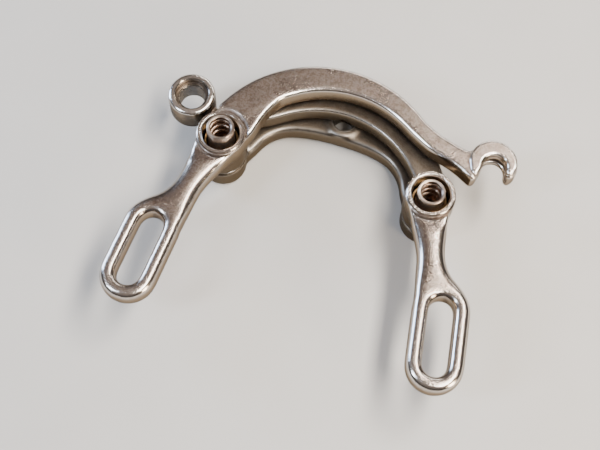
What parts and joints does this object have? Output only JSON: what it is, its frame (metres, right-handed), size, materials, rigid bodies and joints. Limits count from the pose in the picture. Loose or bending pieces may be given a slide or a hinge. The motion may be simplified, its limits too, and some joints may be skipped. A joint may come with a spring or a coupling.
{
  "type": "rim brake caliper",
  "caption": "Stripped centre-pull rim brake caliper: forged bridge, sprung hook arm and eye arm on riveted posts, with slotted pad feet.",
  "frame": {"origin": "on the back face of the bridge's centre boss, in the middle of its ring, straight below the mounting hole", "axes": "+Z is the caliper's front, +Y points up from the pivots to the crown of the arch, +X is right as seen from the front"},
  "size_m": [0.1027, 0.0861, 0.0248],
  "materials": {
    "bridge": "forged, polished, worn",
    "hook_arm": "forged, polished, finely pitted face",
    "eye_arm": "forged, polished, worn",
    "pivot_post_left": "turned, dull",
    "pivot_post_right": "turned, dull",
    "pivot_bushing_left": "plain",
    "pivot_bushing_right": "plain",
    "return_spring_left": "drawn wire",
    "return_spring_right": "drawn wire"
  },
  "bodies": {
    "bridge_assembly": {"bridge": "bridge", "pivot_post_left": "pivot_post_left", "pivot_post_right": "pivot_post_right", "return_spring_left": "return_spring_left", "return_spring_right": "return_spring_right"},
    "hook_arm_body": {"hook_arm": "hook_arm", "pivot_bushing_left": "pivot_bushing_left"},
    "eye_arm_body": {"eye_arm": "eye_arm", "pivot_bushing_right": "pivot_bushing_right"}
  },
  "joints": [
    {"name": "hook_arm_pivot", "type": "hinge", "parent": "bridge_assembly", "child": "hook_arm_body", "pos_m": [-0.031, -0.01775, 0.015], "axis": [0, 0, 1], "range_deg": [-4, 14], "stiffness_Nm_per_rad": 0.2, "deforming": ["return_spring_left"]},
    {"name": "eye_arm_pivot", "type": "hinge", "parent": "bridge_assembly", "child": "eye_arm_body", "pos_m": [0.031, -0.01775, 0.015], "axis": [0, 0, -1], "range_deg": [0, 14], "stiffness_Nm_per_rad": 0.2, "deforming": ["return_spring_right"]}
  ]
}
